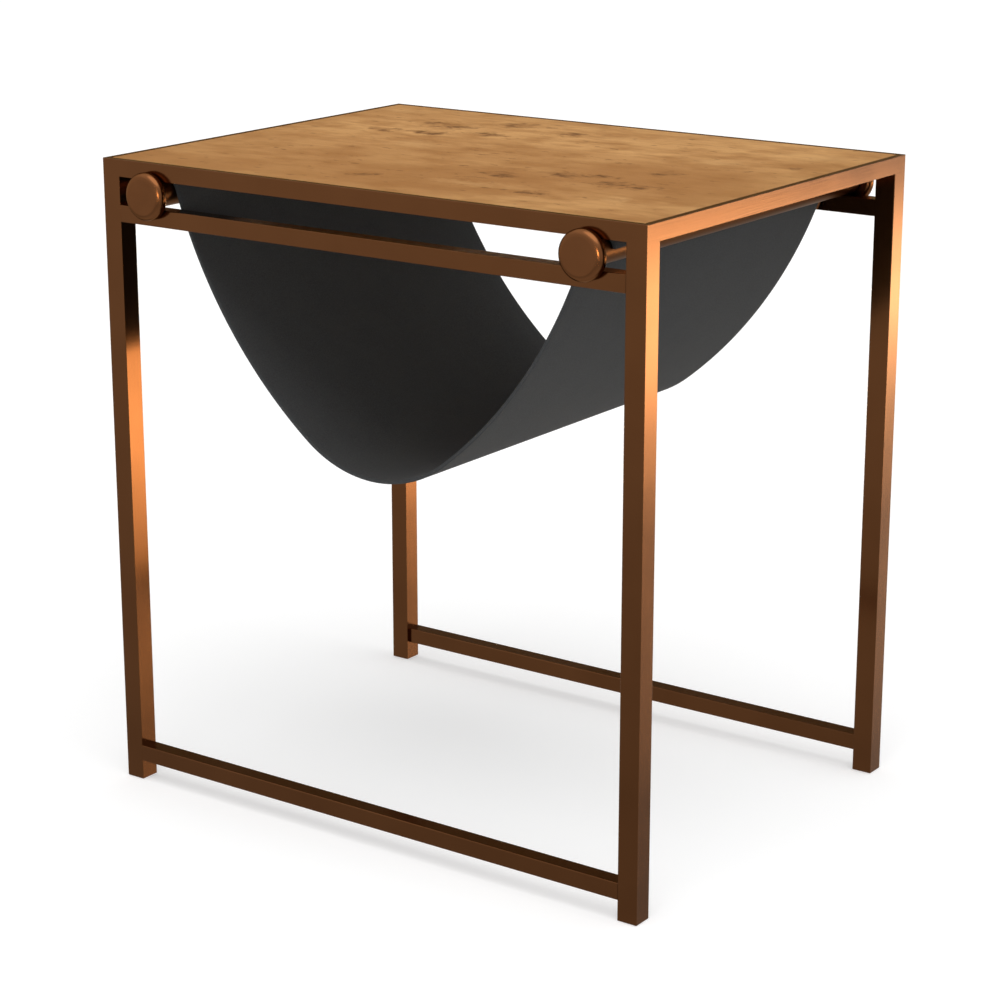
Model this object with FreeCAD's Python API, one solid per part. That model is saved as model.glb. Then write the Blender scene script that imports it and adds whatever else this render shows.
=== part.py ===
import FreeCAD, Part
import math
import os

Vector = FreeCAD.Vector
ORIGIN = Vector(0, 0, 0)
X_AXIS = Vector(1, 0, 0)
Y_AXIS = Vector(0, 1, 0)
Z_AXIS = Vector(0, 0, 1)

# All sizes are in millimetres. X runs along the wide front, Y from front to rear, Z up.
# The origin is on the floor, under the middle of the table.

# Overall size of the table
table_width = 450.0
table_depth = 338.0
table_height = 463.0

# Square tube of the four legs
leg_section = 15.0
leg_wall = 1.5
leg_corner_radius = 0.4

# Square tube of the slot rails and the floor stretchers
rail_section = 12.0
rail_wall = 1.2
rail_corner_radius = 0.4
stretcher_lift = 15.0

# Angle bar of the frame that holds the wooden top
angle_height = 12.0
angle_width = 12.0
angle_thickness = 4.0
angle_edge_radius = 0.4
angle_root_radius = 1.0

# Wooden top, let into the angle frame
wood_side_gap = 0.5
wood_edge_break = 0.6

# Countersunk screws that hold the top from below
screw_shank_diameter = 3.5
screw_head_diameter = 6.4
screw_tip_length = 2.0
screw_hole_clearance = 0.2
screw_pilot_clearance = 0.02
wood_above_screw = 2.0
long_side_screws = 3
short_side_screws = 2
long_side_screw_inset = 75.0
short_side_screw_inset = 89.0

# Plastic plugs that the legs stand on
foot_drop = 0.6
foot_depth = 14.0
foot_clearance = 0.05
foot_edge_break = 0.4

# Round tubes that carry the sling and slide in the slots
rod_diameter = 18.0
rod_wall = 1.5
rod_leg_distance = 29.0
rod_play_below = 0.3
rod_play_above = 1.7
rod_end_recess = 1.0

# Threaded plugs in the rod ends, and the studs that screw into them
stud_diameter = 6.0
stud_reach = 16.0
stud_clearance = 0.05
stud_end_break = 0.6
insert_tail = 6.0
insert_clearance = 0.02

# Turned knobs that clamp the rods to the rails
knob_diameter = 33.5
knob_front_radius = 4.5
knob_back_radius = 3.0
knob_rim_band = 1.5
knob_face_wall = 3.0
knob_gap = 0.3
knob_stud_clearance = 0.02

# Sling that hangs between the rods
sling_thickness = 2.5
sling_drop = 179.8
sling_bottom_radius = 95.0
sling_bottom_half_angle = 38.0
sling_wrap_end_angle = 10.0
sling_rod_gap = 0.3
sling_end_clearance = 0.5

# Rivets that hold the sling's ends to the rods
rivet_count = 5
rivet_end_inset = 20.0
rivet_angle = 45.0
rivet_shank_diameter = 3.2
rivet_head_diameter = 6.4
rivet_head_height = 1.4
rivet_tail_diameter = 4.8
rivet_tail_length = 1.5
rivet_hole_clearance = 0.1
rivet_seat_gap = 0.05

# Heights and places that follow from the sizes above
angle_bottom = table_height - angle_height
wood_bottom = angle_bottom + angle_thickness
wood_thickness = table_height - wood_bottom
slot_height = rod_play_below + rod_diameter + rod_play_above
slot_rail_top = angle_bottom - slot_height
slot_rail_bottom = slot_rail_top - rail_section
rail_length = table_width - 2 * leg_section
rod_radius = rod_diameter / 2
rod_x = table_width / 2 - leg_section - rod_leg_distance
rod_z = slot_rail_top + rod_play_below + rod_radius
rod_length = table_depth - 2 * rod_end_recess
knob_thickness = knob_back_radius + knob_rim_band + knob_front_radius
knob_back = table_depth / 2 + knob_gap
sling_length = table_depth - 2 * (max(leg_section, angle_width) + sling_end_clearance)

SIDES = (("left", -1), ("right", 1))
ENDS = (("front", -1), ("rear", 1))


def rounded_square_bar(side, corner_radius, length):
    """A square bar along +Z, centred on the Z axis, with rounded long edges."""
    bar = Part.makeBox(side, side, length, Vector(-side / 2, -side / 2, 0))
    long_edges = [edge for edge in bar.Edges if abs(edge.tangentAt(edge.FirstParameter).z) > 0.5]
    return bar.makeFillet(corner_radius, long_edges)


def square_bore(side, length):
    """The square hollow of a tube along +Z."""
    return Part.makeBox(side, side, length, Vector(-side / 2, -side / 2, 0))


def turned(profile_edges):
    """A solid turned about the Z axis from a closed profile in the XZ plane."""
    return Part.Face(Part.Wire(profile_edges)).revolve(ORIGIN, Z_AXIS, 360)


def line(x1, z1, x2, z2):
    """A straight profile edge in the XZ plane."""
    return Part.LineSegment(Vector(x1, 0, z1), Vector(x2, 0, z2)).toShape()


def arc(centre_x, centre_z, radius, start_angle, end_angle):
    """A round profile edge in the XZ plane, with angles in degrees from +X towards +Z."""
    points = []
    for angle in (start_angle, (start_angle + end_angle) / 2, end_angle):
        turn = math.radians(angle)
        points.append(Vector(centre_x + radius * math.cos(turn), 0, centre_z + radius * math.sin(turn)))
    return Part.Arc(*points).toShape()


def evenly_spaced(count, span):
    """Places of a row of count pieces, centred on zero, with span from first to last."""
    if count == 1:
        return [0.0]
    return [span * (index / (count - 1) - 0.5) for index in range(count)]


def make_leg(end_sign, side_sign):
    """A leg: square tube, open at the foot, closed by a welded plate under the angle frame."""
    length = angle_bottom - foot_drop
    tube = rounded_square_bar(leg_section, leg_corner_radius, length)
    leg = tube.cut(square_bore(leg_section - 2 * leg_wall, length - leg_wall))
    x = side_sign * (table_width - leg_section) / 2
    y = end_sign * (table_depth - leg_section) / 2
    leg.translate(Vector(x, y, foot_drop))
    return leg


def make_foot(end_sign, side_sign):
    """A plug in the end of a leg, which stands a little proud of the tube."""
    side = leg_section - 2 * leg_wall - 2 * foot_clearance
    plug = Part.makeBox(side, side, foot_depth, Vector(-side / 2, -side / 2, 0))
    foot = plug.makeChamfer(foot_edge_break, plug.Edges)
    x = side_sign * (table_width - leg_section) / 2
    y = end_sign * (table_depth - leg_section) / 2
    foot.translate(Vector(x, y, 0))
    return foot


def make_cross_rail(end_sign, bottom):
    """A tube along X, welded between two legs and flush with their outer faces."""
    tube = rounded_square_bar(rail_section, rail_corner_radius, rail_length)
    rail = tube.cut(square_bore(rail_section - 2 * rail_wall, rail_length))
    rail.rotate(ORIGIN, Y_AXIS, 90)
    y = end_sign * (table_depth - rail_section) / 2
    rail.translate(Vector(-rail_length / 2, y, bottom + rail_section / 2))
    return rail


def screw_places_along(length, count, inset):
    """Places of the screws along one side of the frame, measured from its middle."""
    return evenly_spaced(count, length - 2 * inset)


def screw_cone_height():
    """Depth of the 90 degree countersunk head."""
    return (screw_head_diameter - screw_shank_diameter) / 2


def screw_hole(clearance, depth):
    """The space of a screw along +Z, from the countersink at z = 0."""
    head = screw_head_diameter / 2 + clearance
    shank = screw_shank_diameter / 2 + clearance
    cone = screw_cone_height()
    return turned([
        line(0, 0, head, 0),
        line(head, 0, shank, cone),
        line(shank, cone, shank, depth),
        line(shank, depth, 0, depth),
        line(0, depth, 0, 0),
    ])


def screw_ledge_offset():
    """Distance of the screws from the outer face, at the middle of the ledge."""
    return (angle_thickness + angle_width) / 2


def make_angle_rail(length, screw_places):
    """One side of the frame round the top: an angle bar with mitred ends, along +X.

    The outer lower edge of the section lies on the X axis, with the ledge towards +Y.
    The outer corners are ground round to match the edges of the legs below.
    """
    edge = angle_edge_radius
    root = angle_root_radius
    wall = angle_thickness
    section = [
        line(0, 0, angle_width - edge, 0),
        arc(angle_width - edge, edge, edge, -90, 0),
        line(angle_width, edge, angle_width, wall),
        line(angle_width, wall, wall + root, wall),
        arc(wall + root, wall + root, root, 270, 180),
        line(wall, wall + root, wall, angle_height),
        line(wall, angle_height, edge, angle_height),
        arc(edge, angle_height - edge, edge, 90, 180),
        line(0, angle_height - edge, 0, 0),
    ]
    bar = Part.Face(Part.Wire(section)).extrude(Vector(0, -length, 0))
    bar.rotate(ORIGIN, Z_AXIS, 90)
    rail = bar.common(mitre_block(length))
    for place in screw_places:
        hole = screw_hole(screw_hole_clearance, angle_thickness)
        hole.translate(Vector(length / 2 + place, screw_ledge_offset(), 0))
        rail = rail.cut(hole)
    return rail


def mitre_block(length):
    """The space one side of the frame may fill: mitred at 45 degrees, with rounded outer corners."""
    corner = leg_corner_radius
    corners = [
        Vector(0, 0, 0),
        Vector(length, 0, 0),
        Vector(length - angle_width, angle_width, 0),
        Vector(angle_width, angle_width, 0),
        Vector(0, 0, 0),
    ]
    block = Part.Face(Part.makePolygon(corners)).extrude(Vector(0, 0, angle_height))
    plan = Part.makeBox(length, length, angle_height)
    outer = [edge for edge in plan.Edges if edge.BoundBox.ZLength > 0 and edge.BoundBox.YMax < length / 2]
    return block.common(plan.makeFillet(corner, outer))


def frame_sides():
    """The four sides of the angle frame: name, turn about Z, length and screw places."""
    wide = screw_places_along(table_width, long_side_screws, long_side_screw_inset)
    deep = screw_places_along(table_depth, short_side_screws, short_side_screw_inset)
    return (
        ("front", 0, table_width, wide),
        ("right", 90, table_depth, deep),
        ("rear", 180, table_width, wide),
        ("left", 270, table_depth, deep),
    )


def place_on_side(shape, turn, length):
    """Move a piece made along +X to its side of the frame, under the edge of the top."""
    across = table_depth if length == table_width else table_width
    shape.translate(Vector(-length / 2, -across / 2, angle_bottom))
    shape.rotate(ORIGIN, Z_AXIS, turn)
    return shape


def screw_length():
    """Length of a screw from its flush head to its tip in the wood."""
    return angle_thickness + wood_thickness - wood_above_screw


def make_screw():
    """A countersunk wood screw along +Z, its head flush at z = 0."""
    head = screw_head_diameter / 2
    shank = screw_shank_diameter / 2
    cone = screw_cone_height()
    length = screw_length()
    return turned([
        line(0, 0, head, 0),
        line(head, 0, shank, cone),
        line(shank, cone, shank, length - screw_tip_length),
        line(shank, length - screw_tip_length, 0, length),
        line(0, length, 0, 0),
    ])


def put_in_screw_places(make_piece):
    """Copies of a piece at every screw of the frame."""
    pieces = []
    for name, turn, length, places in frame_sides():
        for place in places:
            piece = make_piece()
            piece.translate(Vector(length / 2 + place, screw_ledge_offset(), 0))
            pieces.append(place_on_side(piece, turn, length))
    return pieces


def make_wood_top():
    """The board that lies on the ledge of the frame, flush with its upper edge.

    Its lower edges are bevelled to clear the round in the root of the angle.
    """
    width = table_width - 2 * (angle_thickness + wood_side_gap)
    depth = table_depth - 2 * (angle_thickness + wood_side_gap)
    board = Part.makeBox(width, depth, wood_thickness, Vector(-width / 2, -depth / 2, wood_bottom))
    middle = wood_bottom + wood_thickness / 2
    lower = [edge for edge in board.Edges if edge.BoundBox.ZMax < middle]
    board = board.makeChamfer(angle_root_radius, lower)
    upper = [edge for edge in board.Edges if edge.BoundBox.ZMin > middle]
    board = board.makeChamfer(wood_edge_break, upper)
    pilots = put_in_screw_places(lambda: screw_hole(screw_pilot_clearance, screw_length()))
    return board.cut(pilots)


def make_rod(side_sign):
    """A round tube along Y, drilled on its outer side for the rivets."""
    start = Vector(side_sign * rod_x, -rod_length / 2, rod_z)
    tube = Part.makeCylinder(rod_radius, rod_length, start, Y_AXIS)
    bore = Part.makeCylinder(rod_radius - rod_wall, rod_length, start, Y_AXIS)
    return tube.cut(bore).cut(rivet_holes(side_sign))


def to_rod_end(shape, end_sign, side_sign, distance):
    """Turn a piece made along +Z to face outwards at a rod's end, distance from the middle."""
    shape.rotate(ORIGIN, X_AXIS, -90 * end_sign)
    shape.translate(Vector(side_sign * rod_x, end_sign * distance, rod_z))
    return shape


def make_insert(end_sign, side_sign):
    """A threaded plug pressed into the end of a rod, flush with it."""
    length = stud_reach + insert_tail
    radius = rod_radius - rod_wall - insert_clearance
    plug = Part.makeCylinder(radius, length, Vector(0, 0, -length))
    bore = Part.makeCylinder(stud_diameter / 2 + stud_clearance, length, Vector(0, 0, -length))
    return to_rod_end(plug.cut(bore), end_sign, side_sign, rod_length / 2)


def stud_depth_in_knob():
    """How deep the stud sits in the back of the knob."""
    return knob_thickness - knob_face_wall


def make_stud(end_sign, side_sign):
    """A stud fixed in the back of the knob, which screws into the rod's end."""
    length = stud_depth_in_knob() + knob_gap + rod_end_recess + stud_reach
    stud = Part.makeCylinder(stud_diameter / 2, length, Vector(0, 0, stud_depth_in_knob() - length))
    tip = min(stud.Edges, key=lambda edge: edge.CenterOfMass.z)
    stud = stud.makeChamfer(stud_end_break, [tip])
    return to_rod_end(stud, end_sign, side_sign, knob_back)


def make_knob(end_sign, side_sign):
    """A turned knob: flat face, well rounded front edge, softer back edge, blind hole for the stud."""
    radius = knob_diameter / 2
    back = knob_back_radius
    front = knob_front_radius
    disc = turned([
        line(0, 0, radius - back, 0),
        arc(radius - back, back, back, -90, 0),
        line(radius, back, radius, back + knob_rim_band),
        arc(radius - front, knob_thickness - front, front, 0, 90),
        line(radius - front, knob_thickness, 0, knob_thickness),
        line(0, knob_thickness, 0, 0),
    ])
    hole = Part.makeCylinder(stud_diameter / 2 + knob_stud_clearance, stud_depth_in_knob())
    return to_rod_end(disc.cut(hole), end_sign, side_sign, knob_back)


def sling_side_arc():
    """Radius, half centre distance and height of the arcs that run up to the rods.

    Each side arc carries on smoothly from the bottom arc and just touches the round
    that the sheet makes over its rod.
    """
    bottom_centre_z = rod_z - sling_drop + sling_bottom_radius
    turn = math.radians(sling_bottom_half_angle)
    down_x, down_z = math.sin(turn), -math.cos(turn)
    rod_dx, rod_dz = rod_x, rod_z - bottom_centre_z
    reach = sling_bottom_radius + rod_radius + sling_rod_gap
    along = rod_dx * down_x + rod_dz * down_z
    extra = (rod_dx ** 2 + rod_dz ** 2 - reach ** 2) / (2 * (reach - along))
    return sling_bottom_radius + extra, extra * down_x, bottom_centre_z - extra * down_z


def sling_surface(offset):
    """The edges of one face of the sheet, left to right, offset inwards from its outer face."""
    side_radius, side_x, side_z = sling_side_arc()
    bottom_z = rod_z - sling_drop + sling_bottom_radius
    half = sling_bottom_half_angle
    touch = math.degrees(math.atan2(side_z - rod_z, rod_x + side_x))
    wrap = rod_radius + sling_rod_gap + offset
    end = sling_wrap_end_angle
    return [
        arc(-rod_x, rod_z, wrap, 180 - end, touch),
        arc(side_x, side_z, side_radius - offset, 180 + touch, 270 - half),
        arc(0, bottom_z, sling_bottom_radius - offset, 270 - half, 270 + half),
        arc(-side_x, side_z, side_radius - offset, 270 + half, 360 - touch),
        arc(rod_x, rod_z, wrap, 180 - touch, end),
    ]


def make_sling():
    """One sheet hanging in a smooth U, its ends laid over the rods and riveted to them."""
    outer = sling_surface(0)
    inner = sling_surface(sling_thickness)
    cuts = []
    for sign in (-1, 1):
        turn = math.radians(sling_wrap_end_angle)
        near = rod_radius + sling_rod_gap
        far = near + sling_thickness
        x1 = sign * (rod_x + near * math.cos(turn))
        x2 = sign * (rod_x + far * math.cos(turn))
        cuts.append(line(x1, rod_z + near * math.sin(turn), x2, rod_z + far * math.sin(turn)))
    section = Part.Wire(Part.__sortEdges__(outer + inner + cuts))
    sheet = Part.Face(section).extrude(Vector(0, sling_length, 0))
    sheet.translate(Vector(0, -sling_length / 2, 0))
    for name, side_sign in SIDES:
        sheet = sheet.cut(rivet_holes(side_sign))
    print("sling sheet", round(section_length(), 1), "by", round(sling_length, 1), "mm")
    return sheet


def section_length():
    """Length of the sheet from end to end, along its middle."""
    return sum(edge.Length for edge in sling_surface(sling_thickness / 2))


def to_rivet_places(make_piece, side_sign):
    """Copies of a piece made along +Z, pointing outwards from a rod's axis at each rivet."""
    pieces = []
    for y in evenly_spaced(rivet_count, sling_length - 2 * rivet_end_inset):
        piece = make_piece()
        piece.rotate(ORIGIN, Y_AXIS, side_sign * (90 - rivet_angle))
        piece.translate(Vector(side_sign * rod_x, y, rod_z))
        pieces.append(piece)
    return pieces


def rivet_seat():
    """Distance from a rod's axis to the underside of the rivet heads."""
    return rod_radius + sling_rod_gap + sling_thickness + rivet_seat_gap


def rivet_holes(side_sign):
    """The drillings for the rivets, through the sheet and one wall of the rod."""
    radius = rivet_shank_diameter / 2 + rivet_hole_clearance
    return to_rivet_places(lambda: Part.makeCylinder(radius, rivet_seat()), side_sign)


def make_rivet():
    """A blind rivet along +Z from a rod's axis, with a domed head and a formed tail."""
    shank = rivet_shank_diameter / 2
    head = rivet_head_diameter / 2
    tail = rivet_tail_diameter / 2
    seat = rivet_seat()
    bore = rod_radius - rod_wall
    tail_top = math.sqrt(bore ** 2 - tail ** 2) - rivet_seat_gap
    dome = (head ** 2 + rivet_head_height ** 2) / (2 * rivet_head_height)
    dome_centre = seat + rivet_head_height - dome
    rim_angle = math.degrees(math.asin((seat - dome_centre) / dome))
    return turned([
        line(0, tail_top - rivet_tail_length, tail, tail_top - rivet_tail_length),
        line(tail, tail_top - rivet_tail_length, tail, tail_top),
        line(tail, tail_top, shank, tail_top),
        line(shank, tail_top, shank, seat),
        line(shank, seat, head, seat),
        arc(0, dome_centre, dome, rim_angle, 90),
        line(0, seat + rivet_head_height, 0, tail_top - rivet_tail_length),
    ])


def build():
    """Every piece of the table by name, in the order in which it is put together."""
    pieces = {}
    for end, end_sign in ENDS:
        for side, side_sign in SIDES:
            pieces[f"leg_{end}_{side}"] = make_leg(end_sign, side_sign)
            pieces[f"foot_{end}_{side}"] = make_foot(end_sign, side_sign)
        pieces[f"stretcher_{end}"] = make_cross_rail(end_sign, stretcher_lift)
        pieces[f"slot_rail_{end}"] = make_cross_rail(end_sign, slot_rail_bottom)
    for name, turn, length, places in frame_sides():
        pieces[f"top_rail_{name}"] = place_on_side(make_angle_rail(length, places), turn, length)
    pieces["wood_top"] = make_wood_top()
    pieces["top_screws"] = Part.Compound(put_in_screw_places(make_screw))
    for side, side_sign in SIDES:
        pieces[f"rod_{side}"] = make_rod(side_sign)
    pieces["sling"] = make_sling()
    for side, side_sign in SIDES:
        pieces[f"sling_rivets_{side}"] = Part.Compound(to_rivet_places(make_rivet, side_sign))
        for end, end_sign in ENDS:
            pieces[f"rod_insert_{end}_{side}"] = make_insert(end_sign, side_sign)
            pieces[f"knob_stud_{end}_{side}"] = make_stud(end_sign, side_sign)
            pieces[f"knob_{end}_{side}"] = make_knob(end_sign, side_sign)
    return pieces


os.makedirs("parts", exist_ok=True)
for node, shape in build().items():
    shape.exportStep(f"parts/{node}.step")
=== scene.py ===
import math

import bmesh
import bpy
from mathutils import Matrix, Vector


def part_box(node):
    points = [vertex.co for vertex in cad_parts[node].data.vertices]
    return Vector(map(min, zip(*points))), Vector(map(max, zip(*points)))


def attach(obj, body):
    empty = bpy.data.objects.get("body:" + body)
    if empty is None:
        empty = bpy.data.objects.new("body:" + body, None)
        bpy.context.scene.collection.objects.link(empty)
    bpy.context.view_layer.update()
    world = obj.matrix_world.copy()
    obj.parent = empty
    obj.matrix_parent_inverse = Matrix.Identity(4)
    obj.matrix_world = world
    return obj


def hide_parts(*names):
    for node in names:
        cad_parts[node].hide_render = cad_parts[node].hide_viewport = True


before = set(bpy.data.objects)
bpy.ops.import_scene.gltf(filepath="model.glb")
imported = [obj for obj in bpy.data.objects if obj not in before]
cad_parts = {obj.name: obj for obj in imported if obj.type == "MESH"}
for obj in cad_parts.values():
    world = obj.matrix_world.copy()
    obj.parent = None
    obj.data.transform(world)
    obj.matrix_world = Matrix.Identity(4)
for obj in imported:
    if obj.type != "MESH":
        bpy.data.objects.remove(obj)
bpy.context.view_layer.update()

# Legs: four uprights of square steel tube, cut square, welded under the rim and ground flush there.
# The welded frame is plated with copper as one piece, toned brown, and polished along each tube to a satin.


def linear(hex_colour):
    """An sRGB hex colour as the linear colour that a socket takes."""
    parts = [int(hex_colour[i:i + 2], 16) / 255 for i in (1, 3, 5)]
    return [p / 12.92 if p <= 0.04045 else ((p + 0.055) / 1.055) ** 2.4 for p in parts] + [1.0]


def add_node(tree, kind, sockets, **settings):
    """Add a node with its settings. Each socket gets a value, or the output that feeds it."""
    node = tree.nodes.new("ShaderNode" + kind)
    for name, value in settings.items():
        setattr(node, name, value)
    for name, value in sockets.items():
        if isinstance(value, bpy.types.NodeSocket):
            tree.links.new(value, node.inputs[name])
        else:
            node.inputs[name].default_value = value
    return node


def new_finish(name):
    """An empty material, with the node tree to fill and the place on the object in metres."""
    material = bpy.data.materials.new(name)
    material.use_nodes = True
    tree = material.node_tree
    tree.nodes.clear()
    return material, tree, add_node(tree, "TexCoord", {}).outputs["Object"]


def give(finish, names):
    """Put a finish on CAD nodes."""
    for name in names:
        for material_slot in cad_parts[name].material_slots:
            material_slot.material = finish


# A colour mix has its share and its two colours at these sockets, and the result at this output.
mix_share, mix_first, mix_second, mix_result = 0, 6, 7, 2
along_x, along_y, along_z = 0, 1, 2


# Satin copper plate on polished steel: a deep brown metal that blurs what it mirrors, with a slightly cloudy
# tone and fine polishing lines along the tube. The lines are about 0.1 mm apart, and drawn at 0.7 mm to show.
def satin_copper(name, along, dullest, edge_tint):
    """The frame's plating, polished along one axis of the tube."""
    material, tree, place = new_finish(name)
    cloud_size, line_width, line_length, line_depth = 0.055, 0.0007, 0.040, 0.0002
    gloss_change = 0.05
    line_size = [line_width] * 3
    line_size[along] = line_length
    clouds = add_node(tree, "TexNoise", {"Vector": place, "Scale": 1 / cloud_size, "Detail": 3.0})
    lying = add_node(tree, "Mapping", {"Vector": place, "Scale": line_size}, vector_type="TEXTURE")
    lines = add_node(tree, "TexNoise", {"Vector": lying.outputs[0], "Scale": 1.0, "Detail": 2.0})
    tone = add_node(tree, "Mix", {
        mix_share: clouds.outputs[0], mix_first: linear("#5a3820"), mix_second: linear("#674227")},
        data_type="RGBA")
    gloss = add_node(tree, "MapRange", {
        "Value": clouds.outputs[0], "From Min": 0.3, "From Max": 0.7,
        "To Min": dullest - gloss_change, "To Max": dullest})
    relief = add_node(tree, "Bump", {
        "Height": lines.outputs[0], "Strength": 0.04, "Distance": line_depth})
    metal = add_node(tree, "BsdfPrincipled", {
        "Base Color": tone.outputs[mix_result], "Metallic": 1.0, "Roughness": gloss.outputs[0],
        "Specular Tint": linear(edge_tint), "Normal": relief.outputs[0]})
    add_node(tree, "OutputMaterial", {"Surface": metal.outputs[0]})
    return material


frame_roughness, frame_edge_tint = 0.18, "#faf5f0"
ends = ("front", "rear")
sides = ("left", "right")
corners = [f"{end}_{side}" for end in ends for side in sides]
upright_copper = satin_copper("SatinCopperUpright", along_z, frame_roughness, frame_edge_tint)
give(upright_copper, [f"leg_{corner}" for corner in corners])

# Feet: black plugs of moulded polyethylene, pressed into the open lower ends of the legs.
# They stand a little below the tube and keep the metal off the floor.

# Moulded polyethylene: black and half matt, with the fine even spark texture of the mould.
plug, tree, place = new_finish("MouldedPolyethylene")
spark_size, spark_depth, smear_size = 0.0006, 0.0001, 0.006
spark = add_node(tree, "TexNoise", {"Vector": place, "Scale": 1 / spark_size, "Detail": 2.0})
smear = add_node(tree, "TexNoise", {"Vector": place, "Scale": 1 / smear_size, "Detail": 2.0})
shade = add_node(tree, "Mix", {
    mix_share: smear.outputs[0], mix_first: linear("#141414"), mix_second: linear("#222120")},
    data_type="RGBA")
gloss = add_node(tree, "MapRange", {"Value": smear.outputs[0], "To Min": 0.42, "To Max": 0.6})
relief = add_node(tree, "Bump", {"Height": spark.outputs[0], "Strength": 0.25, "Distance": spark_depth})
plastic = add_node(tree, "BsdfPrincipled", {
    "Base Color": shade.outputs[mix_result], "Roughness": gloss.outputs[0], "IOR": 1.51,
    "Normal": relief.outputs[0]})
add_node(tree, "OutputMaterial", {"Surface": plastic.outputs[0]})
give(plug, [f"foot_{corner}" for corner in corners])

# Stretchers and slot rails: slimmer square tube, welded between the legs flush with their outer faces.
# The slot rails lie under the rim, and the gap above them is the slot that the rods slide in.
crosswise_copper = satin_copper("SatinCopperCrosswise", along_x, frame_roughness, frame_edge_tint)
give(crosswise_copper, [f"{rail}_{end}" for rail in ("stretcher", "slot_rail") for end in ends])

# Rim: four lengths of steel angle, mitred, welded on the legs and ground, with the ledge inside.
# They carry the same plating as the legs and run into them without a seam.
deep_copper = satin_copper("SatinCopperDeep", along_y, frame_roughness, frame_edge_tint)
give(crosswise_copper, ["top_rail_front", "top_rail_rear"])
give(deep_copper, ["top_rail_left", "top_rail_right"])

# Top: an oak board that lies on the ledge, flush with the rim and with a hair's gap all round.
# It is planed, sanded along the grain and oiled, and the grain runs the long way.

# Oiled oak: light brown and half matt. The oil has gone in unevenly and leaves broad clouds and small blotches.
# Fine short pores run along the grain, pale patches show where the rays are cut, and dark flecks lie in groups,
# each in a brown halo. The pores are 0.3 mm wide, and drawn at 0.8 mm.
oak, tree, place = new_finish("OiledOak")
figure_depth = 0.04
figure = {}
for pattern, length, width, detail in (
        ("cloud", 0.130, 0.090, 2.0), ("blotch", 0.030, 0.017, 3.0), ("streak", 0.110, 0.0060, 3.0),
        ("pore", 0.009, 0.0008, 2.0), ("fleck", 0.0110, 0.0060, 2.0)):
    lying = add_node(tree, "Mapping", {"Vector": place, "Scale": (length, width, figure_depth)},
                     vector_type="TEXTURE")
    grown = add_node(tree, "TexNoise", {"Vector": lying.outputs[0], "Scale": 1.0, "Detail": detail})
    figure[pattern] = grown.outputs[0]
fray_size, fray_reach = 0.011, (0.050, 0.034, 0.0)
ragged = add_node(tree, "TexNoise", {
    "Vector": place, "Scale": 1 / fray_size, "Detail": 4.0, "Roughness": 0.6})
torn = add_node(tree, "VectorMath", {0: ragged.outputs["Color"], 1: (-0.5, -0.5, -0.5)}, operation="ADD")
frayed = add_node(tree, "VectorMath", {0: torn.outputs[0], 1: fray_reach, 2: place},
                  operation="MULTIPLY_ADD").outputs[0]
board_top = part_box("wood_top")[1].z


def marks_at(where, places):
    """Soft round patches at given places on the board: x, y, half length and half width."""
    found = None
    for x, y, length, width in places:
        spot = add_node(tree, "Mapping", {
            "Vector": where, "Location": (x, y, board_top), "Scale": (length, width, 1.0)},
            vector_type="TEXTURE")
        mark = add_node(tree, "TexGradient", {"Vector": spot.outputs[0]},
                        gradient_type="SPHERICAL").outputs["Fac"]
        if found is not None:
            mark = add_node(tree, "Math", {0: found, 1: mark}, operation="MAXIMUM").outputs[0]
        found = mark
    return found


figure["group"] = marks_at(frayed, (
    (-0.111, 0.092, 0.021, 0.014), (-0.134, 0.096, 0.016, 0.010), (-0.077, 0.126, 0.018, 0.015),
    (-0.067, 0.075, 0.018, 0.011), (-0.109, 0.057, 0.021, 0.011), (-0.150, 0.050, 0.016, 0.010),
    (-0.019, 0.111, 0.015, 0.013), (0.079, -0.043, 0.020, 0.010), (0.102, -0.036, 0.018, 0.009),
    (0.127, -0.054, 0.016, 0.013), (0.133, -0.001, 0.015, 0.014), (0.044, -0.066, 0.018, 0.010),
    (-0.032, -0.120, 0.012, 0.012), (0.152, -0.062, 0.014, 0.011), (0.106, -0.116, 0.016, 0.010)))
figure["ray"] = marks_at(frayed, (
    (0.160, -0.103, 0.016, 0.014), (0.050, -0.108, 0.045, 0.012), (0.140, 0.062, 0.028, 0.016),
    (-0.085, 0.008, 0.034, 0.022), (-0.190, 0.140, 0.030, 0.016), (0.185, 0.120, 0.040, 0.020)))
# Three broad patches at given places are darker, and a wide band towards the back of the board is paler.
darker_places = marks_at(place, (
    (0.165, -0.040, 0.130, 0.110), (-0.210, -0.110, 0.170, 0.170), (0.05, -0.10, 0.13, 0.07)))
paler_towards_back = marks_at(place, ((0.03, 0.13, 0.27, 0.16),))

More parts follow.
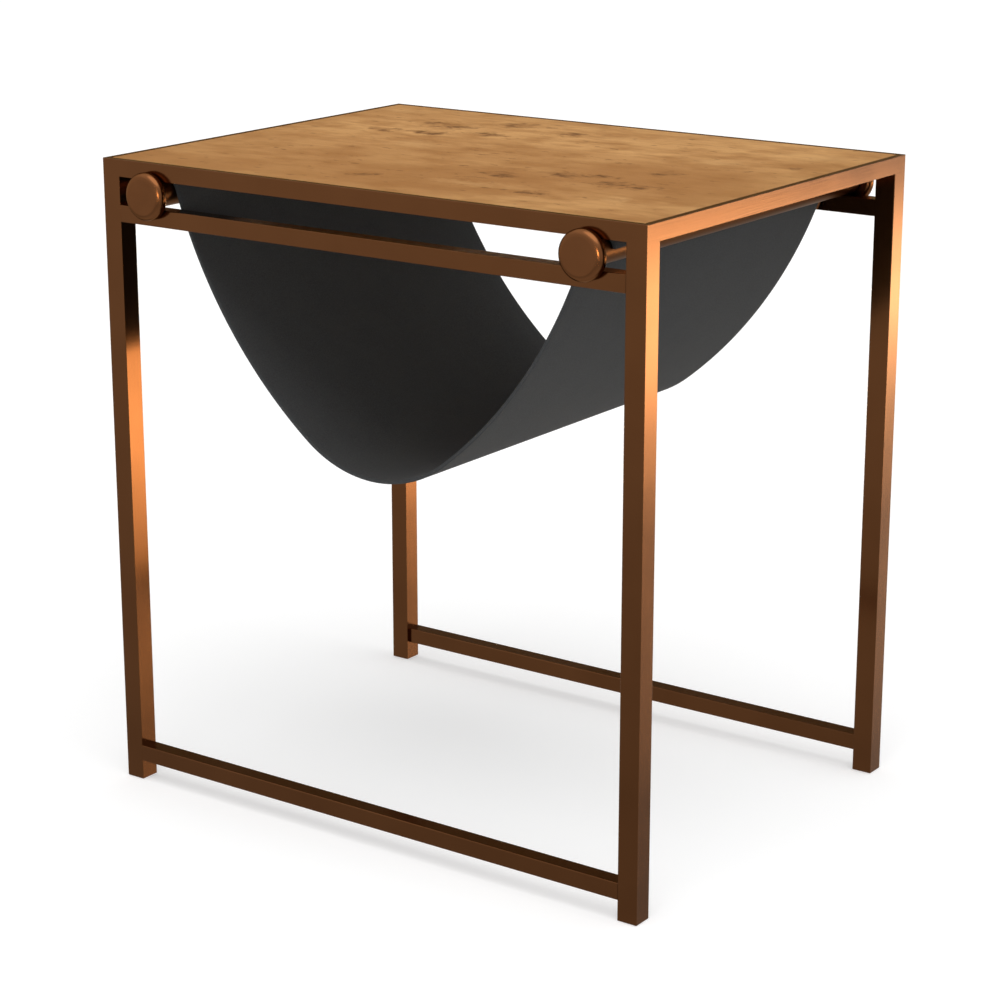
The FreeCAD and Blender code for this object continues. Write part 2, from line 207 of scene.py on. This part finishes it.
# The base tone comes first. Then each layer starts and is full at two levels of its pattern.
clouds = add_node(tree, "MapRange", {"Value": figure["cloud"], "From Min": 0.3, "From Max": 0.7})
darker = add_node(tree, "MapRange", {"Value": darker_places, "From Max": 0.7, "To Max": 0.60},
                  interpolation_type="SMOOTHSTEP")
paler = add_node(tree, "Math", {0: paler_towards_back, 1: 0.32, 2: clouds.outputs[0]}, operation="MULTIPLY_ADD")
light = add_node(tree, "Math", {0: paler.outputs[0], 1: darker.outputs[0]}, operation="SUBTRACT",
                 use_clamp=True)
tone = add_node(tree, "Mix", {
    mix_share: light.outputs[0], mix_first: linear("#a67542"), mix_second: linear("#ca9960")},
    data_type="RGBA")
for pattern, start, full, strength, colour in (
        ("blotch", 0.42, 0.70, 0.75, "#986735"), ("streak", 0.45, 0.75, 0.35, "#a06e3d"),
        ("pore", 0.55, 0.72, 0.30, "#7f5730"), ("ray", 0.05, 0.90, 0.35, "#d9ab71"),
        ("group", 0.0, 0.70, 0.45, "#8a5d31")):
    layer = add_node(tree, "MapRange", {
        "Value": figure[pattern], "From Min": start, "From Max": full, "To Max": strength})
    tone = add_node(tree, "Mix", {
        mix_share: layer.outputs[0], mix_first: tone.outputs[mix_result], mix_second: linear(colour)},
        data_type="RGBA")
lone_flecks = add_node(tree, "MapRange", {
    "Value": figure["fleck"], "From Min": 0.65, "From Max": 0.73, "To Max": 0.45})
broken = add_node(tree, "MapRange", {
    "Value": figure["fleck"], "From Min": 0.42, "From Max": 0.60, "To Min": 0.10})
spots = add_node(tree, "MapRange", {
    "Value": figure["group"], "From Min": 0.05, "From Max": 0.70, "To Max": 0.85})
grouped_flecks = add_node(tree, "Math", {0: spots.outputs[0], 1: broken.outputs[0]}, operation="MULTIPLY")
flecks = add_node(tree, "Math", {0: lone_flecks.outputs[0], 1: grouped_flecks.outputs[0]},
                  operation="MAXIMUM")
flecked = add_node(tree, "Mix", {
    mix_share: flecks.outputs[0], mix_first: tone.outputs[mix_result], mix_second: linear("#5c3819")},
    data_type="RGBA")
pore_depth = 0.0002
gloss = add_node(tree, "MapRange", {"Value": figure["blotch"], "To Min": 0.62, "To Max": 0.5})
relief = add_node(tree, "Bump", {"Height": figure["pore"], "Strength": 0.2, "Distance": pore_depth})
wood = add_node(tree, "BsdfPrincipled", {
    "Base Color": flecked.outputs[mix_result], "Roughness": gloss.outputs[0], "IOR": 1.47,
    "Specular IOR Level": 0.15, "Normal": relief.outputs[0]})
add_node(tree, "OutputMaterial", {"Surface": wood.outputs[0]})
give(oak, ["wood_top"])

# Screws: countersunk wood screws with a cross recess, driven up through the ledge to hold the board down.
# They are steel with a thin zinc plating, and only their heads show, flush under the rim.
screw_low, screw_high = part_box("top_screws")
head_radius, head_edge, shank_radius, tip_length = 0.0032, 0.0001, 0.00175, 0.0020
wing_length, wing_half_width, recess_depth, recess_taper = 0.0018, 0.00045, 0.0011, 0.45
cone_height = head_radius - shank_radius
shank_height = screw_high.z - screw_low.z - tip_length
long_side_x, short_side_y = (-0.150, 0.0, 0.150), (-0.080, 0.080)
screw_x, screw_y = screw_high.x - head_radius, screw_high.y - head_radius
screw_places = [(x, way * screw_y) for way in (-1, 1) for x in long_side_x]
screw_places += [(way * screw_x, y) for way in (-1, 1) for y in short_side_y]
wing_corner = math.degrees(math.atan2(wing_half_width, wing_length))

# The head is drawn in spokes, in degrees: along each of the four wings, at its corners and between the wings.
# Each spoke also has the distance from the middle at which it meets the edge of the recess.
spokes = []
for wing in (0, 90, 180, 270):
    for bend in (-45, -34, -24, -wing_corner, 0, wing_corner, 24, 34):
        off_wing = abs(math.sin(math.radians(bend)))
        recess = wing_length / math.cos(math.radians(bend))
        if abs(bend) > wing_corner:
            recess = wing_half_width / off_wing
        spokes.append((math.radians(wing + bend), recess))


def skin(shape, rings):
    """Close the walls between rings of points that follow one another."""
    for ring, following in zip(rings, rings[1:]):
        for k in range(len(ring)):
            after = (k + 1) % len(ring)
            shape.faces.new((ring[k], ring[after], following[after], following[k]))


def add_piece(name, shape):
    """Make a finished shape an object of the scene."""
    data = bpy.data.meshes.new(name)
    shape.to_mesh(data)
    shape.free()
    piece = bpy.data.objects.new(name, data)
    bpy.context.scene.collection.objects.link(piece)
    return piece


screw_shape = bmesh.new()
for x, y in screw_places:
    rings = []
    for recess_share, radius, rise in (
            (recess_taper, 0.0, recess_depth), (1.0, 0.0, 0.0), (0.0, head_radius - head_edge, 0.0),
            (0.0, head_radius, head_edge), (0.0, shank_radius, cone_height),
            (0.0, shank_radius, shank_height)):
        ring = []
        for angle, recess in spokes:
            out = recess_share * recess + radius
            ring.append(screw_shape.verts.new((
                x + out * math.cos(angle), y + out * math.sin(angle), screw_low.z + rise)))
        rings.append(ring)
    skin(screw_shape, rings)
    for ring, height in ((rings[0], screw_low.z + recess_depth), (rings[-1], screw_high.z)):
        middle = screw_shape.verts.new((x, y, height))
        for k in range(len(spokes)):
            screw_shape.faces.new((ring[k], ring[(k + 1) % len(spokes)], middle))
bmesh.ops.recalc_face_normals(screw_shape, faces=screw_shape.faces)
screws = add_piece("cross_head_screws", screw_shape)

# Zinc plate: a pale grey metal, cloudy from the bath and a little dull.
zinc, tree, place = new_finish("ZincPlatedSteel")
bath_size, bath_depth = 0.0015, 0.0001
bath = add_node(tree, "TexNoise", {"Vector": place, "Scale": 1 / bath_size, "Detail": 4.0})
shade = add_node(tree, "Mix", {
    mix_share: bath.outputs[0], mix_first: linear("#8f9294"), mix_second: linear("#b9bbbc")},
    data_type="RGBA")
gloss = add_node(tree, "MapRange", {"Value": bath.outputs[0], "To Min": 0.28, "To Max": 0.46})
relief = add_node(tree, "Bump", {"Height": bath.outputs[0], "Strength": 0.1, "Distance": bath_depth})
metal = add_node(tree, "BsdfPrincipled", {
    "Base Color": shade.outputs[mix_result], "Metallic": 1.0, "Roughness": gloss.outputs[0],
    "Normal": relief.outputs[0]})
add_node(tree, "OutputMaterial", {"Surface": metal.outputs[0]})
screws.data.materials.append(zinc)
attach(screws, "frame")
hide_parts("top_screws")

# Rods: two lengths of round drawn steel tube, plated like the frame but left duller.
# They pass through the front and rear slots and carry the sling between them.
rod_roughness, rod_edge_tint = 0.40, "#e2d6cc"
rod_copper = satin_copper("DrawnCopperTube", along_y, rod_roughness, rod_edge_tint)
give(rod_copper, [f"rod_{side}" for side in sides])

# Inserts: threaded steel plugs, pressed into the ends of the rods to take the knobs' studs.
# They are zinc-plated like the screws.
give(zinc, [f"rod_insert_{corner}" for corner in corners])

# Sling: one sheet of firm pressed wool felt, cut to a rectangle, that hangs in a curve for the magazines.
# Each end comes up the inner side of its rod and over it, and is riveted down on the outer side.
felt_thickness = 0.0025
felt_gap_to_rod = 0.0003
felt_edge_radius = 0.0008
bottom_radius = 0.095
bottom_half_angle = math.radians(38)
wrap_end_angle = math.radians(10)
rod_low, rod_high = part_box("rod_right")
rod_x, rod_z = (rod_low.x + rod_high.x) / 2, (rod_low.z + rod_high.z) / 2
wrap_radius = (rod_high.x - rod_low.x) / 2 + felt_gap_to_rod
sling_low, sling_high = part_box("sling")
half_length = sling_high.y

# The side arcs continue the bottom arc, and their radius is the one that just touches the wrap round the rod.
bottom_z = sling_low.z + bottom_radius
down_x, down_z = math.sin(bottom_half_angle), -math.cos(bottom_half_angle)
reach = bottom_radius + wrap_radius
along_down = rod_x * down_x + (rod_z - bottom_z) * down_z
extra = (rod_x ** 2 + (rod_z - bottom_z) ** 2 - reach ** 2) / (2 * (reach - along_down))
side_radius, side_x, side_z = bottom_radius + extra, extra * down_x, bottom_z - extra * down_z
touch = math.atan2(side_z - rod_z, rod_x + side_x)


def arc_stations(centre_x, centre_z, radius, start, end, step, inward):
    """Points of the sling's outer face along an arc, each with the way to its inner face."""
    count = max(2, round(abs(end - start) * radius / step))
    found = []
    for index in range(count + 1):
        angle = start + (end - start) * index / count
        way = Vector((math.cos(angle), 0, math.sin(angle)))
        found.append((Vector((centre_x, 0, centre_z)) + way * radius, -way if inward else way))
    return found


half_turn = math.pi
bottom_left, bottom_right = 1.5 * half_turn - bottom_half_angle, 1.5 * half_turn + bottom_half_angle
wrap_step, hang_step = 0.0012, 0.004
runs = (
    arc_stations(-rod_x, rod_z, wrap_radius, half_turn - wrap_end_angle, touch, wrap_step, False),
    arc_stations(side_x, side_z, side_radius, half_turn + touch, bottom_left, hang_step, True),
    arc_stations(0, bottom_z, bottom_radius, bottom_left, bottom_right, hang_step, True),
    arc_stations(-side_x, side_z, side_radius, bottom_right, 2 * half_turn - touch, hang_step, True),
    arc_stations(rod_x, rod_z, wrap_radius, half_turn - touch, wrap_end_angle, wrap_step, False),
)
stations = [station for index, run in enumerate(runs) for station in run[(index > 0):]]

# The sheet's section across its length: the inner face with its rounded edges, then the outer face back again.
columns, edge_steps = 48, 4
flat_half = half_length - felt_edge_radius
inner_face = [(flat_half * (2 * index / columns - 1), felt_thickness) for index in range(columns + 1)]
for index in range(1, edge_steps):
    angle = math.pi / 2 * index / edge_steps
    inner_face.append((half_length - felt_edge_radius + felt_edge_radius * math.sin(angle),
                       felt_thickness - felt_edge_radius + felt_edge_radius * math.cos(angle)))
inner_face.append((half_length, felt_thickness - felt_edge_radius))
other_edge = [(-y, offset) for y, offset in inner_face[columns + 1:]]
inner_face = other_edge[::-1] + inner_face
section = inner_face + [(y, felt_thickness - offset) for y, offset in reversed(inner_face)]

sling_shape = bmesh.new()
rings = []
for point, way in stations:
    rings.append([sling_shape.verts.new((point.x + way.x * offset, y, point.z + way.z * offset))
                  for y, offset in section])
skin(sling_shape, rings)
for ring in (rings[0], rings[-1]):
    for k in range(len(section) // 2 - 1):
        sling_shape.faces.new((ring[k], ring[k + 1], ring[-k - 2], ring[-k - 1]))
bmesh.ops.recalc_face_normals(sling_shape, faces=sling_shape.faces)
for face in sling_shape.faces:
    face.smooth = True
sling = add_piece("felt_sling", sling_shape)

# Pressed wool felt: charcoal and quite matt, with a tangle of darker and paler fibres and a soft nap.
# The cut edges are a little darker. The fibres are 0.03 mm thick, and their
# tangle is drawn at 1 mm.
felt, tree, place = new_finish("PressedWoolFelt")
tangle_size, tangle_depth, press_size = 0.0010, 0.0003, 0.022
cut_start, cut_full = half_length - 0.0006, half_length - 0.0002
tangle = add_node(tree, "TexNoise", {
    "Vector": place, "Scale": 1 / tangle_size, "Detail": 4.0, "Roughness": 0.65})
pressed = add_node(tree, "TexNoise", {"Vector": place, "Scale": 1 / press_size, "Detail": 3.0})
fibres = add_node(tree, "MapRange", {"Value": tangle.outputs[0], "From Min": 0.3, "From Max": 0.7})
heather = add_node(tree, "Mix", {
    mix_share: fibres.outputs[0], mix_first: linear("#353637"), mix_second: linear("#454647")},
    data_type="RGBA")
patch = add_node(tree, "MapRange", {
    "Value": pressed.outputs[0], "From Min": 0.3, "From Max": 0.7, "To Max": 0.35})
clouded = add_node(tree, "Mix", {
    mix_share: patch.outputs[0], mix_first: heather.outputs[mix_result], mix_second: linear("#434444")},
    data_type="RGBA")
across = add_node(tree, "SeparateXYZ", {0: place})
from_middle = add_node(tree, "Math", {0: across.outputs["Y"]}, operation="ABSOLUTE")
# The cut edges are mixed a little towards a darker grey.
cut_edge = add_node(tree, "MapRange", {
    "Value": from_middle.outputs[0], "From Min": cut_start, "From Max": cut_full, "To Max": 0.3})
edged = add_node(tree, "Mix", {
    mix_share: cut_edge.outputs[0], mix_first: clouded.outputs[mix_result], mix_second: linear("#2b2c2d")},
    data_type="RGBA")
relief = add_node(tree, "Bump", {"Height": tangle.outputs[0], "Strength": 0.25, "Distance": tangle_depth})
cloth = add_node(tree, "BsdfPrincipled", {
    "Base Color": edged.outputs[mix_result], "Roughness": 0.95, "IOR": 1.54, "Specular IOR Level": 0.15,
    "Sheen Weight": 0.15, "Sheen Roughness": 0.5, "Sheen Tint": linear("#8c8986"),
    "Normal": relief.outputs[0]})
add_node(tree, "OutputMaterial", {"Surface": cloth.outputs[0]})
sling.data.materials.append(felt)
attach(sling, "rack")
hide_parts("sling")

# Rivets: blind rivets of aluminium with domed heads, set through the felt and the rod's wall.
# They are coated to match the copper.

# Coated aluminium: a warm brown metal, finely speckled, with a small soft shine on each dome.
rivet_coat, tree, place = new_finish("CoatedAluminiumRivet")
speck_size, speck_depth = 0.0012, 0.0001
speck = add_node(tree, "TexNoise", {"Vector": place, "Scale": 1 / speck_size, "Detail": 3.0})
shade = add_node(tree, "Mix", {
    mix_share: speck.outputs[0], mix_first: linear("#623d24"), mix_second: linear("#72492c")},
    data_type="RGBA")
gloss = add_node(tree, "MapRange", {"Value": speck.outputs[0], "To Min": 0.26, "To Max": 0.4})
relief = add_node(tree, "Bump", {"Height": speck.outputs[0], "Strength": 0.1, "Distance": speck_depth})
metal = add_node(tree, "BsdfPrincipled", {
    "Base Color": shade.outputs[mix_result], "Metallic": 1.0, "Roughness": gloss.outputs[0],
    "Normal": relief.outputs[0]})
add_node(tree, "OutputMaterial", {"Surface": metal.outputs[0]})
give(rivet_coat, [f"sling_rivets_{side}" for side in sides])

# Knobs: turned from bar with a flat face and a rounded edge, polished and plated like the frame.
# Each has a zinc-plated stud in its back, which screws into the rod and clamps it to the rails.

# Turned copper-plated steel: the frame's brown, with faint rings from the lathe on its face.
# The rings are 0.15 mm apart, and drawn at 0.6 mm.
turned, tree, place = new_finish("TurnedCopper")
ring_size, ring_depth, cloud_size = 0.0006, 0.0002, 0.018
axes = add_node(tree, "SeparateXYZ", {0: place})
off_middle = add_node(tree, "Math", {0: axes.outputs["X"]}, operation="ABSOLUTE")
from_axis_x = add_node(tree, "Math", {0: off_middle.outputs[0], 1: rod_x}, operation="SUBTRACT")
from_axis_z = add_node(tree, "Math", {0: axes.outputs["Z"], 1: rod_z}, operation="SUBTRACT")
radial = add_node(tree, "CombineXYZ", {0: from_axis_x.outputs[0], 1: from_axis_z.outputs[0]})
distance = add_node(tree, "VectorMath", {0: radial.outputs[0]}, operation="LENGTH")
ring_place = add_node(tree, "CombineXYZ", {0: distance.outputs["Value"]})
lathe = add_node(tree, "TexNoise", {
    "Vector": ring_place.outputs[0], "Scale": 1 / ring_size, "Detail": 2.0})
clouds = add_node(tree, "TexNoise", {"Vector": place, "Scale": 1 / cloud_size, "Detail": 3.0})
tone = add_node(tree, "Mix", {
    mix_share: clouds.outputs[0], mix_first: linear("#603c23"), mix_second: linear("#6e462a")},
    data_type="RGBA")
gloss = add_node(tree, "MapRange", {
    "Value": clouds.outputs[0], "From Min": 0.3, "From Max": 0.7, "To Min": 0.20, "To Max": 0.25})
relief = add_node(tree, "Bump", {"Height": lathe.outputs[0], "Strength": 0.12, "Distance": ring_depth})
metal = add_node(tree, "BsdfPrincipled", {
    "Base Color": tone.outputs[mix_result], "Metallic": 1.0, "Roughness": gloss.outputs[0],
    "Specular Tint": linear("#dccdc0"), "Normal": relief.outputs[0]})
add_node(tree, "OutputMaterial", {"Surface": metal.outputs[0]})
give(turned, [f"knob_{corner}" for corner in corners])
give(zinc, [f"knob_stud_{corner}" for corner in corners])

# Floor: a wide sheet of pale studio paper, which runs out of sight and keeps the table's soft shadow.
# It is plain and matt, and glows a little where it is seen, so that it looks white under the plain light.


def add_plate(name, half_size):
    """A flat square sheet, lying level."""
    shape = bmesh.new()
    bmesh.ops.create_grid(shape, x_segments=1, y_segments=1, size=half_size)
    return add_piece(name, shape)


def seen_rays(tree):
    """1 for rays from the camera or by way of a mirror or glass, and 0 for the light on matt surfaces."""
    path = add_node(tree, "LightPath", {})
    direct = add_node(tree, "Math", {0: path.outputs["Is Camera Ray"], 1: path.outputs["Is Glossy Ray"]},
                      operation="ADD")
    return add_node(tree, "Math", {0: direct.outputs[0], 1: path.outputs["Is Transmission Ray"]},
                    operation="ADD", use_clamp=True).outputs[0]


floor_half_size, floor_glow = 15.0, 0.45
floor = add_plate("studio_floor", floor_half_size)
paper, tree, place = new_finish("PaleStudioPaper")
lift = add_node(tree, "Math", {0: seen_rays(tree), 1: floor_glow}, operation="MULTIPLY")
matt_paper = add_node(tree, "BsdfDiffuse", {"Color": linear("#d2d2d2")})
paper_glow = add_node(tree, "Emission", {"Strength": lift.outputs[0]})
lit_paper = add_node(tree, "AddShader", {0: matt_paper.outputs[0], 1: paper_glow.outputs[0]})
add_node(tree, "OutputMaterial", {"Surface": lit_paper.outputs[0]})
floor.data.materials.append(paper)
floor.visible_glossy = False

# Light: a wide soft light from overhead and a low soft panel at the front, in even grey surroundings.
# The surroundings are white where they are seen or mirrored. Low windows behind the table give the metal its
# bright sides, a small one in front gives the knobs a spot, and a brown card keeps the upper faces dark.
overhead = bpy.data.lights.new("overhead", "SUN")
overhead.energy = 1.5
overhead.angle = math.radians(60)
overhead_object = bpy.data.objects.new("overhead", overhead)
overhead_object.rotation_euler = (math.radians(8), math.radians(12), 0.0)
bpy.context.scene.collection.objects.link(overhead_object)

panel = bpy.data.lights.new("front_panel", "AREA")
panel.shape = "RECTANGLE"
panel.size, panel.size_y, panel.energy = 1.4, 0.7, 12.0
panel_object = bpy.data.objects.new("front_panel", panel)
panel_object.location = (0.7, -1.7, 0.5)
panel_target = Vector((0.0, 0.0, 0.33))
panel_aim = panel_target - panel_object.location
panel_object.rotation_euler = panel_aim.to_track_quat("-Z", "Y").to_euler()
panel_object.visible_camera = False
panel_object.visible_glossy = False
bpy.context.scene.collection.objects.link(panel_object)

# Brown cloth on the card: plain and matt, and only mirrored, never seen.
card = add_plate("brown_card", 1.0)
card.location = (-1.42, 2.18, 1.75)
card.scale = (2.6, 1.2, 1.0)
card.rotation_euler = (math.pi / 2, 0.0, math.radians(33))
brown_cloth, tree, place = new_finish("BrownCloth")
matt_cloth = add_node(tree, "BsdfDiffuse", {"Color": linear("#8a6f48")})
add_node(tree, "OutputMaterial", {"Surface": matt_cloth.outputs[0]})
card.data.materials.append(brown_cloth)
card.visible_camera = False
card.visible_diffuse = False
card.visible_shadow = False

# The white surroundings fade downwards, lighten again towards the ground and brighten overhead.
world = bpy.data.worlds.new("studio")
bpy.context.scene.world = world
world.use_nodes = True
tree = world.node_tree
tree.nodes.clear()
outlook = add_node(tree, "TexCoord", {}).outputs["Generated"]
height = add_node(tree, "SeparateXYZ", {0: outlook}).outputs["Z"]
level = add_node(tree, "MapRange", {
    "Value": height, "From Min": -0.40, "From Max": -0.12, "To Min": 0.55, "To Max": 1.0}).outputs[0]
for low_end, high_end, at_low, at_high in ((-0.75, -0.42, 0.25, 0.0), (0.35, 0.75, 0.0, 0.6)):
    band = add_node(tree, "MapRange", {
        "Value": height, "From Min": low_end, "From Max": high_end, "To Min": at_low, "To Max": at_high})
    level = add_node(tree, "Math", {0: level, 1: band.outputs[0]}, operation="ADD").outputs[0]

# Each window: degrees round from the rear to the right, degrees up, tilt, half width, half height, strength.
windows = None
for bearing, rise, tilt, half_width, half_height, strength in (
        (36, -13.1, 10, 0.32, 0.043, 13.0), (36, -18.5, 10, 0.60, 0.085, 0.65),
        (-36, -13.1, -10, 0.32, 0.043, 13.0), (-36, -18.5, -10, 0.60, 0.085, 0.65),
        (150, 4.0, 0, 0.16, 0.12, 36.0)):
    around_z, up_angle = math.radians(bearing), math.radians(rise)
    middle = (math.cos(up_angle) * math.sin(around_z), math.cos(up_angle) * math.cos(around_z),
              math.sin(up_angle))
    spread = add_node(tree, "Mapping", {
        "Vector": outlook, "Location": middle, "Scale": (half_width, 1.0, half_height),
        "Rotation": (0.0, math.radians(tilt), -around_z)}, vector_type="TEXTURE")
    pane = add_node(tree, "TexGradient", {"Vector": spread.outputs[0]}, gradient_type="SPHERICAL")
    bright = add_node(tree, "MapRange", {"Value": pane.outputs["Fac"], "From Max": 0.5, "To Max": strength},
                      interpolation_type="SMOOTHSTEP").outputs[0]
    if windows is not None:
        bright = add_node(tree, "Math", {0: windows, 1: bright}, operation="ADD").outputs[0]
    windows = bright
grey_light = 0.5
around = add_node(tree, "Background", {"Color": linear("#ffffff"), "Strength": grey_light})
white = add_node(tree, "Background", {"Color": linear("#ffffff"), "Strength": level})
daylight = add_node(tree, "Background", {"Color": linear("#ffe1b2"), "Strength": windows})
bright_side = add_node(tree, "AddShader", {0: white.outputs[0], 1: daylight.outputs[0]})
chosen = add_node(tree, "MixShader", {0: seen_rays(tree), 1: around.outputs[0], 2: bright_side.outputs[0]})
add_node(tree, "OutputWorld", {"Surface": chosen.outputs[0]})
bpy.context.scene.view_settings.view_transform = "Standard"

# Camera: above the front right corner, at the photograph's viewing angle.
# It stands about 1.9 m away with a long lens, so that the table's lines converge only a little.
camera_data = bpy.data.cameras.new("camera")
camera_data.sensor_width = 36.0
camera_data.lens = 95.6
camera_dip, camera_turn = 0.2841, 0.6198
camera = bpy.data.objects.new("camera", camera_data)
camera.location = (1.0733, -1.5108, 0.7530)
camera.rotation_euler = (math.pi / 2 - camera_dip, 0.0, camera_turn)
bpy.context.scene.collection.objects.link(camera)
bpy.context.scene.camera = camera
